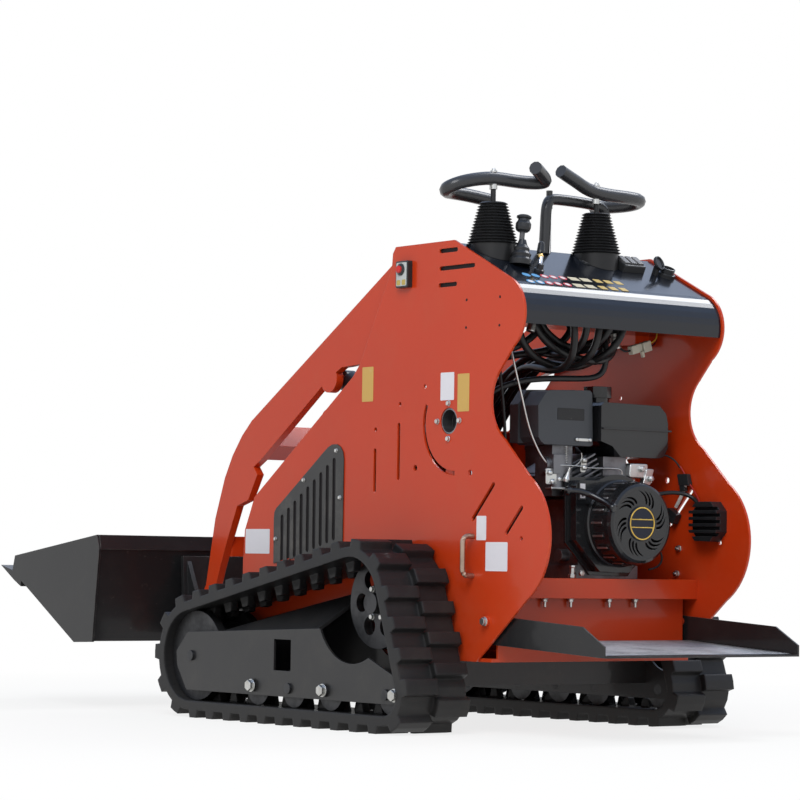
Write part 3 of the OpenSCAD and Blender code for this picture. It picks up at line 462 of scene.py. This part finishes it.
white_film = film("white_film", (0.72, 0.70, 0.74))
yellow_film = film("yellow_film", (0.58, 0.36, 0.10))
for name, material, spots in (
        ("white_plates_left", white_film, [(338, 745, 387, 808), (217, 430, 251, 484), (142, 362, 218, 426),
        (1052, 395, 1155, 455)]),
        ("yellow_plates_left", yellow_film, [(641, 752, 684, 833), (283, 718, 325, 803)])):
    shape = bmesh.new()
    for y0, z0, y1, z1 in spots:
        block(shape, (-300.25, (y0 + y1) / 2, (z0 + z1) / 2), (0, -1, 0), (0, 0, 1), y1 - y0, z1 - z0, 0.5,
            2.5)
    keep(name, shape, "chassis", material)

# Stop button.
# A small cast box on the left plate with a pale face, a red push button in a black collar, and
# two little brass plates under it, all blank.
shape = bmesh.new()
rearward, upward = (0, -1, 0), (0, 0, 1)
box_y, box_z = 521, 1040
block(shape, (-307, box_y, box_z), rearward, upward, 46, 62, 14, 4, 2)
block(shape, (-314.2, box_y, box_z), rearward, upward, 38, 54, 0.6, 3, 0, 1)
spun(shape, [(0, 0), (14, 0), (14, 3), (10, 5), (0, 5)], axes_of(leftward), (-314, 523, 1051), 32, 0)
spun(shape, [(0, 4), (8.5, 4), (8.5, 9), (6, 11), (0, 11.5)], axes_of(leftward), (-314, 523, 1051), 32, 2)
for y in (512, 531):
    block(shape, (-314.8, y, 1021), rearward, upward, 13, 12, 0.8, 1.5, 0, 3)
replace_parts(keep("stop_button_case", shape, "chassis", control_plastic,
    film("box_grey", (0.50, 0.52, 0.52), 0.3),
                 film("button_red", (0.55, 0.02, 0.02), 0.25),
                 film("plate_brass", (0.48, 0.36, 0.10), 0.3)), "stop_button_box")

# Levers and switches.
# A lever in a rubber boot with a fluted knob, a block of three rockers, an outlet with its round
# lid open, and a small flat meter, all in black plastic on the slope of the console.
console_rise, console_low = 0.4917, (145, 1002.7)
slope = Vector((0, 1, console_rise)).normalized()
slope_out = Vector((1, 0, 0)).cross(slope)
boss_grey = film("boss_grey", (0.10, 0.10, 0.105), 0.3)


def on_slope(x, y, lift=0.0):
    return Vector((x, y, console_low[1] + (y - console_low[0]) * console_rise)) + slope_out * lift


shape = bmesh.new()
lean = Vector((0.12, 0.02, 1)).normalized()
spun(shape, [(0, -10), (25, -10), (26, 2), (21, 8), (23, 15), (17, 22), (18, 28), (12, 36), (8, 48),
    (0, 48)], axes_of(lean), on_slope(-192, 244, 10))
spun(shape, [(0, 0), (6, 0), (6, 44), (9, 46), (9, 58), (0, 58)], axes_of(lean), (-187, 245, 1090), 20, 1)
spun(shape, [(0, -16), (11, -16), (16, -12), (18, -6), (18, 3), (14, 9), (13, 14), (17, 16), (17, 20),
    (12, 23), (0, 24)], axes_of(lean), (-180, 246, 1142), 12)
block(shape, on_slope(166, 278, 9), (1, 0, 0), slope, 66, 44, 18, 4, 3)
for i in range(3):
    tilt = Vector((0, 1, console_rise + 0.18)).normalized()
    block(shape, on_slope(145 + 21 * i, 280, 20), (1, 0, 0), tilt, 17, 34, 9, 2, 1.5, 1)
spun(shape, [(0, -6), (21, -6), (21, 4), (17, 5), (17, 17), (14, 18), (13, 8), (0, 8)], axes_of(slope_out),
    on_slope(264, 256, 4), 32)
spun(shape, [(0, -3), (17, -3), (18, 0), (17, 4), (14, 4), (13, 1), (0, 1)], axes_of((0.25, -0.9, 0.35)),
    on_slope(236, 262, 28), 32)
block(shape, on_slope(234, 262, 10), (1, 0, 0), slope, 10, 14, 20, 2)
block(shape, on_slope(62, 295, 1.5), (1, 0, 0), slope, 50, 26, 3, 3, 1)
block(shape, on_slope(62, 295, 3.1), (1, 0, 0), slope, 38, 15, 0.5, 1, 0, 1)
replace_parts(keep("levers_and_rockers", shape, "chassis", control_plastic, boss_grey), "levers_and_switches")

# Coloured marks of the console.
# Two rows of small plain dots and tiles on the slope, left without any sign.
mark_blue = film("mark_blue", (0.10, 0.34, 0.66), 0.3)
mark_red = film("mark_red", (0.62, 0.06, 0.09), 0.3)
mark_cream = film("mark_cream", (0.60, 0.55, 0.42), 0.35)
mark_yellow = film("mark_yellow", (0.56, 0.40, 0.12), 0.35)
shape = bmesh.new()
for row, y in enumerate((186, 148)):
    for i, (x, kind) in enumerate(zip((-220, -193, -167, -141, -113, -80, -45, -8, 23, 54), "bbrrrccyyy")):
        at = on_slope(x - row * 18, y, 0.25)
        tile_at = on_slope(x - row * 18, y, 0.35)
        if kind in "br":
            spun(shape, [(0, 0), (10.5, 0), (10.5, 0.3), (0, 0.3)], axes_of(slope_out), at, 24,
                "br".index(kind))
            if kind == "r" or row:
                spun(shape, [(0, 0.3), (6.5, 0.3), (6.5, 0.5), (0, 0.5)], axes_of(slope_out), at, 24, 4)
        else:
            wide, slot = (27, 2) if kind == "c" else (20, 3)
            block(shape, tile_at, (1, 0, 0), slope, wide, 20, 0.4, 2, 0, slot)
keep("console_marks", shape, "chassis", mark_blue, mark_red, mark_cream, mark_yellow, white_film)

# Starter cover.
# Glossy moulded cup of the recoil starter, with six groups of three curved slots in its face over a
# disc of painted shade, and dark patches of painted shade for the slots round its wall, each with a bright rib. Its
# badge place is a plain dark disc in a brass ring.
crank_x, crank_z = 75, 474
cast_light = metal("cast_light", (0.50, 0.50, 0.50), (0.24, 0.24, 0.24), 0.35)
shape = bmesh.new()
spun(shape, [(100, 0), (100, 12), (96, 14), (94, 72), (90, 81), (84, 84), (78, 83.6), (78, 80), (84, 79),
    (90, 70), (92, 14), (92, 0), (100, 0)],
     axes_of(backward), (crank_x, 206, crank_z), 72)
face_r, slot_in, slot_out = 79, 45, 75
holes = [[(face_r * math.cos(math.radians(a)), face_r * math.sin(math.radians(a))) for a in range(0, 360,
    6)]]
for group in range(6):
    for turn in (-12, 0, 12):
        near, off = [], []
        for k in range(9):
            t = k / 8
            r, a = slot_in + (slot_out - slot_in) * t, math.radians(group * 60 + turn + 24 * t * t)
            half = 3.3 * math.sqrt(1.03 - (2 * t - 1) ** 4) / r
            near.append((r * math.cos(a + half), r * math.sin(a + half)))
            off.append((r * math.cos(a - half), r * math.sin(a - half)))
        holes.append(near + off[::-1])
sheet(shape, holes, 3, (Vector((1, 0, 0)), Vector((0, 0, 1)), Vector((0, -1, 0))),
    (crank_x, 125.5, crank_z))
# A near-black disc behind the face's slots: painted shade.
spun(shape, [(0, 0), (80, 0), (80, 3), (0, 3)], axes_of(backward), (crank_x, 146, crank_z), 48, 1)
for a in range(0, 360, 18):
    out = Vector((math.cos(math.radians(a)), 0, math.sin(math.radians(a))))
    side_way = Vector((-out.z, 0, out.x))
    # Dark patches on the wall stand for its slots: painted shade.
    block(shape, Vector((crank_x, 168, crank_z)) + out * 94.9, (0, 1, 0), side_way, 42, 17, 0.8, 4, 0, 1)
    block(shape, Vector((crank_x, 168, crank_z)) + out * 95.4, (0, 1, 0), side_way, 36, 4.6, 1.4, 1.5, 0, 2)
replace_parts(keep("starter_cover", shape, "chassis", cover_black, painted_slot_shade, cast_light), "recoil_cover")
shape = bmesh.new()
spun(shape, [(0, 0), (40, 0), (40, 1.4), (38, 2.2), (0, 2.2)], axes_of(backward), (crank_x, 122, crank_z),
    64)
keep("starter_disc", shape, "chassis", film("disc_navy", (0.010, 0.013, 0.026), 0.25))
shape = bmesh.new()
spun(shape, [(34.5, 0), (37.5, 0), (37.5, 1.2), (34.5, 1.2), (34.5, 0)], axes_of(backward),
    (crank_x, 119.9, crank_z), 64)
for z in (-9, 9):
    block(shape, (crank_x, 119.4, crank_z + z), (1, 0, 0), upward, 64, 2.2, 0.8, 0.4)
keep("starter_ring", shape, "chassis", metal("brass", (0.72, 0.50, 0.12), (0.52, 0.34, 0.08), 0.22))


# Hoses and cables.
# Black hydraulic hoses with crimped ends loop down from the valve block to the pump and the tank.
# Thin cables run from the console to the engine, and wires from the engine to the regulator.
def line(name, body, material, radius, points, smooth=12):
    curve = bpy.data.curves.new(name, "CURVE")
    curve.dimensions, curve.bevel_depth, curve.bevel_resolution, curve.resolution_u = "3D", radius / 1000, 3, smooth
    curve.use_fill_caps = True
    run = curve.splines.new("NURBS")
    run.points.add(len(points) - 1)
    for point, spot in zip(run.points, points):
        point.co = (*place_of(*spot), 1)
    run.order_u, run.use_endpoint_u = 4, True
    curve.materials.append(material)
    piece = bpy.data.objects.new(name, curve)
    bpy.context.scene.collection.objects.link(piece)
    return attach(piece, body)


valve_ports, drops = (-84, -44, -4, 36, 76), (815, 850, 828, 862, 840)
for i, (x, drop) in enumerate(zip(valve_ports, drops)):
    line("valve_hose_%d" % (i + 1), "chassis", hose_rubber, 8.5, [
        (x, 212, 968), (x, 190, 966), (x - 6, 172, 940), (x * 0.8 - 10, 180, drop + 40),
        (x * 0.6 - 20, 230, drop),
        (x * 0.5 - 20, 320, drop + 10), (x * 0.5, 420, drop + 30), (x * 0.4, 560, 740), (x * 0.4, 700, 560),
        (x * 0.4, 800, 498)])
loops = [
    [(-150, 262, 1000), (-152, 250, 940), (-135, 244, 900), (-90, 240, 866), (-20, 238, 846),
    (56, 240, 843), (104, 250, 868), (118, 262, 930), (114, 275, 1000)],
    [(-122, 272, 1000), (-122, 262, 930), (-90, 256, 895), (-40, 252, 872), (30, 252, 868), (84, 258, 893),
    (94, 270, 950), (92, 280, 1005)],
    [(68, 262, 940), (68, 244, 900), (68, 240, 860), (66, 244, 822), (40, 250, 806), (-18, 256, 803),
    (-97, 262, 801), (-180, 270, 790), (-236, 300, 762), (-262, 380, 700), (-262, 520, 600)],
    [(-176, 290, 1010), (-182, 270, 950), (-178, 262, 900), (-150, 266, 862), (-96, 280, 838),
    (-20, 300, 830), (60, 310, 836), (130, 320, 870), (156, 330, 940), (150, 330, 1020)],
    [(-60, 300, 1010), (-66, 290, 950), (-100, 290, 900), (-140, 310, 872), (-184, 350, 850),
    (-200, 430, 806), (-204, 560, 730)],
    [(20, 310, 1010), (24, 300, 940), (0, 300, 890), (-60, 320, 862), (-120, 360, 860), (-170, 430, 830),
    (-200, 560, 700)],
    [(120, 300, 1010), (128, 290, 950), (110, 290, 905), (60, 310, 884), (0, 350, 880), (-40, 430, 860),
    (-60, 560, 740)],
    [(160, 340, 1020), (176, 330, 960), (170, 330, 905), (120, 350, 880), (60, 400, 872), (20, 480, 820),
    (10, 600, 690)]]
hose_radii = (9, 8, 7, 9, 8.5, 8.5, 9, 8)
for i, (points, radius) in enumerate(zip(loops, hose_radii)):
    line("bundle_hose_%d" % (i + 1), "chassis", hose_rubber, radius, points)
shape = bmesh.new()
crimp = [(0, -2), (10, -2), (10.5, 0), (10.5, 24), (9.5, 26), (7, 26), (7, 34), (0, 34)]
for x in valve_ports:
    spun(shape, [(r, z - 6) for r, z in crimp], axes_of((0, 0.2, 1)), (x - 3, 184, 946), 20)
spun(shape, crimp, axes_of((0.3, 0, 1)), (-152, 250, 905), 20)
spun(shape, crimp, axes_of((-0.2, 0.1, 1)), (110, 253, 880), 20)
keep("hose_crimps", shape, "chassis", zinc)
wire_red = film("wire_red", (0.35, 0.02, 0.02))
wire_white = film("wire_white", (0.62, 0.60, 0.56))
cable_steel = metal("cable_steel", (0.62, 0.62, 0.60), (0.45, 0.44, 0.42), 0.25)
line("throttle_cable", "chassis", cable_steel, 2.4, [(-205, 290, 1000), (-202, 270, 900), (-196, 255, 835),
    (-186, 255, 800), (-170, 255, 755),
     (-152, 255, 690), (-128, 255, 645), (-104, 256, 612), (-69, 258, 591)])
line("earth_cable", "chassis", hose_rubber, 4, [(-216, 300, 1000), (-214, 290, 850), (-206, 280, 760),
    (-196, 280, 660),
     (-180, 300, 560), (-150, 340, 480), (-96, 380, 440)])
line("sender_wire", "chassis", hose_rubber, 2.2, [(236, 262, 632), (256, 252, 640), (270, 240, 634),
    (280, 230, 622), (284, 222, 608)])
line("regulator_wire", "chassis", wire_red, 1.8, [(284, 222, 612), (286, 210, 596), (286, 196, 575),
    (286, 178, 556), (284, 158, 536), (276, 146, 524)])
line("stator_cable", "chassis", hose_rubber, 5, [(150, 235, 520), (186, 228, 538), (225, 216, 549),
    (262, 198, 550), (280, 180, 542), (284, 160, 528), (276, 150, 514)])
line("white_lead", "chassis", wire_white, 4, [(286, 206, 568), (288, 214, 552), (288, 226, 534),
    (286, 238, 516)])
line("lower_loop", "chassis", hose_rubber, 2.5, [(190, 205, 430), (212, 202, 410), (212, 200, 388),
    (196, 200, 374), (170, 202, 370)])
shape = bmesh.new()
block(shape, (286, 208, 580), (0, 1, 0), (0, 0.25, 1), 34, 28, 13, 3, 2)
block(shape, (286, 212, 560), (0, 1, 0), (0, 0.25, 1), 16, 14, 11, 2, 2)
block(shape, (283, 244, 496), (0, 0.8, 0.5), (0, -0.5, 0.8), 34, 26, 18, 3, 2)
keep("wire_boxes", shape, "chassis", control_plastic)
shape = bmesh.new()
tilted = (0.95, 0.05, 0.28)
block(shape, (176, 262, 882), tilted, (-0.28, 0, 0.95), 34, 20, 14, 2, 1.5)
block(shape, (208, 262, 889), tilted, (-0.28, 0, 0.95), 26, 24, 16, 2, 1.5)
block(shape, (192, 254, 870), tilted, (-0.28, 0, 0.95), 8, 14, 5, 1)
keep("cream_connector", shape, "chassis", film("cream_plastic", (0.62, 0.58, 0.47), 0.4))
for i, (shift, material) in enumerate(((0, wire_red), (4, film("wire_yellow", (0.75, 0.50, 0.05))),
    (-4, hose_rubber))):
    line("connector_wire_%d" % (i + 1), "chassis", material, 1.5,
        [(218, 262, 892 + shift), (236, 260, 899 + shift), (254, 268, 915 + shift),
         (262, 290, 945), (262, 320, 985)])
line("connector_lead", "chassis", hose_rubber, 2.4, [(162, 262, 878), (146, 262, 872), (128, 266, 880),
    (112, 276, 910), (108, 290, 960)])

# Engine trim.
# Blank plate and catch of the air cleaner, pull grip, switch, throttle rods, springs and the
# bright cast lug above the starter, in moulded plastic and zinc plated wire and sheet.
shape = bmesh.new()
block(shape, (-31, 247.6, 721), (1, 0, 0), upward, 80, 27, 0.8, 2, 0)
keep("cleaner_plate", shape, "chassis", film("plate_dark", (0.02, 0.02, 0.022), 0.2))
shape = bmesh.new()
block(shape, (6, 247.2, 664), (1, 0, 0), upward, 48, 7, 2.0, 3, 0.6)
for x in (-14, 26):
    spun(shape, [(0, 0), (4.5, 0), (4.5, 2.4), (3, 3.4), (0, 3.4)], axes_of(backward), (x, 246.4, 664), 16)
keep("cleaner_catch", shape, "chassis", zinc)
line("pull_grip", "chassis", cover_black, 7.5, [(-80, 199, 545), (-62, 194, 546), (-45, 186, 544),
    (-28, 170, 534), (-16, 148, 522), (-11, 132, 513), (-10, 124, 508)])
shape = bmesh.new()
spun(shape, [(0, -5), (7, -5), (10, -3), (11, 0), (10, 3), (7, 5), (0, 5)], axes_of((0.1, -0.9, -0.5)),
    (-10, 123, 507), 24)
spun(shape, [(0, -6), (9, -6), (11, 0), (9, 6), (0, 6)], axes_of((-1, 0.3, 0.1)), (-78, 199, 545), 24)
keep("pull_grip_ends", shape, "chassis", cover_black)
shape = bmesh.new()
block(shape, (-32, 204.4, 546), (1, 0, 0), upward, 22, 42, 3, 3, 1, 0)
block(shape, (-32, 202.8, 556), (1, 0, 0), upward, 15, 13, 1, 1, 0, 1)
block(shape, (-32, 202.8, 537), (1, 0, 0), upward, 15, 15, 1, 1, 0, 1)
spun(shape, [(0, 0), (4, 0), (3.4, 2), (0, 2.4)], axes_of(backward), (-32, 202.2, 537), 20, 0)
keep("engine_switch", shape, "chassis", control_plastic, white_film)
line("throttle_rod", "chassis", zinc, 1.8, [(-66, 246, 604), (-40, 242, 604), (-9, 240, 604),
    (10, 240, 600), (35, 240, 600), (80, 240, 601), (112, 240, 601), (119, 240, 596), (119, 240, 588)], 6)
line("choke_rod", "chassis", zinc, 1.5, [(-70, 250, 590), (-40, 246, 594), (-4, 244, 610), (2, 244, 622),
    (-2, 244, 634)], 6)
coil = [(-45 + 4 * math.cos(a * 0.9), 246 + 4 * math.sin(a * 0.9), 648 - a * 0.55) for a in range(0, 74)]
line("governor_spring", "chassis", zinc, 0.8, coil, 3)
shape = bmesh.new()
block(shape, (4, 243, 606), (1, 0, 0), (0.15, 0, 1), 16, 34, 3, 5, 0.6)
block(shape, (-76, 250, 578), (1, 0, 0), upward, 54, 36, 3, 4, 0.6)
block(shape, (-70, 240, 551), (1, 0, 0), (0, 1, 0), 66, 24, 4, 3, 0.6)
for x, z in ((4, 616), (4, 600), (-92, 586), (-64, 572), (-84, 566)):
    spun(shape, [(0, 0), (6, 0), (6, 4), (3.5, 6), (0, 6.5)], axes_of(backward),
        (x, 248 if x < 0 else 241, z), 12)
spun(shape, [(0, 0), (8, 0), (9, 6), (6, 14), (3, 24), (3, 34), (0, 34)], axes_of((0.3, -0.1, 1)),
    (-52, 240, 566), 20)
keep("throttle_bracket", shape, "chassis", zinc)
shape = bmesh.new()
block(shape, (168, 246, 598), (1, 0, 0), (0.1, 0, 1), 56, 34, 20, 7, 3)
block(shape, (196, 240, 584), (1, 0, 0), (0.3, 0, 1), 24, 40, 14, 5, 2)
spun(shape, [(0, 0), (8, 0), (8, 6), (5, 8), (0, 8)], axes_of(backward), (176, 236, 602), 6)
spun(shape, [(0, 0), (7, 0), (7, 6), (4, 8), (0, 8)], axes_of(backward), (200, 232, 580), 6)
keep("cast_lug", shape, "chassis", metal("cast_bright", (0.62, 0.62, 0.60), (0.30, 0.30, 0.29), 0.35))
shape = bmesh.new()
for i in range(6):
    block(shape, (-33, 300, 614 + i * 7), (1, 0, 0), (0, 1, 0), 50, 60, 2.6, 4)
keep("carburettor_fins", shape, "chassis", cast_grey)
shape = bmesh.new()
spun(shape, [(0, 0), (9, 0), (9, 8), (6, 9), (6, 22), (8, 24), (8, 28), (0, 28)], axes_of((0.1, 0, 1)),
    (-42, 226, 349), 6)
spun(shape, [(0, 0), (7, 0), (7, 7), (0, 8)], axes_of(backward), (-16, 226, 360), 6)
keep("drain_bolts", shape, "chassis", zinc)

# Handles and grab bar.
# Bent bars in thick foam sleeves: a loop on each drive stick, screwed down on its stem, and the
# fixed bar between them.
left_loop = [(-143, 250, 1276), (-122, 262, 1270), (-98, 276, 1262), (-74, 292, 1254), (-90, 304, 1250),
    (-132, 310, 1249), (-180, 312, 1251), (-221, 312, 1252),
             (-266, 314, 1245), (-304, 320, 1236), (-328, 338, 1224), (-312, 366, 1218), (-280, 386, 1220),
             (-232, 394, 1220), (-180, 398, 1216), (-149, 400, 1213)]
right_loop = [(-34, 290, 1282), (-8, 295, 1273), (22, 300, 1264), (50, 305, 1253), (80, 309, 1246),
    (112, 311, 1243), (149, 312, 1242), (200, 314, 1242), (240, 322, 1241),
              (256, 342, 1238), (248, 366, 1233), (222, 384, 1229), (190, 396, 1226), (160, 402, 1224)]
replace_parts(line("handle_sleeve_left", "chassis", handle_foam, 15.5, left_loop), "drive_handles")
line("handle_sleeve_right", "chassis", handle_foam, 15.5, right_loop)
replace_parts(line("grab_bar_sleeve", "chassis", handle_foam, 13,
    [(-44, 335, 1094), (-42, 335, 1130), (-40, 335, 1170), (-38, 335, 1206), (-28, 336, 1221),
    (-8, 336, 1223),
            (40, 338, 1223), (90, 342, 1222), (132, 346, 1220), (150, 348, 1212), (155, 349, 1190),
            (157, 350, 1150), (158, 350, 1101)]), "grab_bar")
shape = bmesh.new()
for x, y, z in ((-215, 311, 1268), (92, 309, 1262)):
    spun(shape, [(0, -4), (8, -4), (8, 1), (5, 2), (5, 5), (3.5, 6), (0, 6)], axes_of((0, 0, 1)), (x, y, z),
        12)
    spun(shape, [(0, -12), (9, -12), (9, 0), (0, 0)], axes_of((0, 0, 1)), (x, 312, 1238 if x < 0 else 1230),
        20)
keep("handle_screws", shape, "chassis", zinc)

# Grip of the platform.
# Ribbed bright metal sheet riveted over the folding platform for the driver's shoes.
tread_metal = metal("tread_metal", (0.46, 0.45, 0.44), (0.22, 0.21, 0.20), 0.38)
shape = bmesh.new()
bed_rise, bed_edge = 0.0604, (196, 208)
lie = (0, 1, bed_rise)
block(shape, (0, 10, 197.4), (1, 0, 0), lie, 556, 336, 0.8, 4, 0, 1)
for i in range(27):
    y = -150 + 12.2 * i
    z = bed_edge[1] - (bed_edge[0] - y) * bed_rise + 1.4
    block(shape, (0, y, z), (1, 0, 0), lie, 548, 4.6, 1.5, 2, 0.4)
keep("platform_grip", shape, "platform", tread_metal, metal("tread_bed", (0.12, 0.12, 0.12),
    (0.06, 0.06, 0.06), 0.5))

# Bare lever by the grab bar.
# A chromed rod with a black grip stands behind the crest of the console, and a small ball
# jointed lever with a brass collar stands on the slope.
line("chrome_lever", "chassis", chrome, 5, [(-24, 341, 1096), (-24, 341, 1130), (-24, 341, 1170),
    (-24, 341, 1205)], 4)
line("chrome_lever_grip", "chassis", handle_foam, 7.5, [(-24, 341, 1200), (-24, 341, 1215),
    (-24, 341, 1230), (-24, 341, 1242)], 4)
shape = bmesh.new()
joint = axes_of((0.35, 0.25, 1))
spun(shape, [(0, -4), (12, -4), (12, 3), (8, 5), (7, 16), (0, 16)], axes_of(slope_out),
    on_slope(-160, 214, 2), 24)
spun(shape, [(0, 0), (5, 0), (5, 26), (0, 26)], joint, (-155, 216, 1050), 16, 1)
spun(shape, [(0, -7), (6, -5), (8.5, 0), (6, 5), (0, 7)], joint, (-148, 224, 1072), 20, 2)
spun(shape, [(0, 0), (8, 0), (9, 6), (8, 26), (5, 30), (0, 30)], joint, (-145, 227, 1078), 20)
keep("ball_lever", shape, "chassis", control_plastic, chrome,
    metal("collar_brass", (0.72, 0.50, 0.20), (0.5, 0.33, 0.1), 0.25))
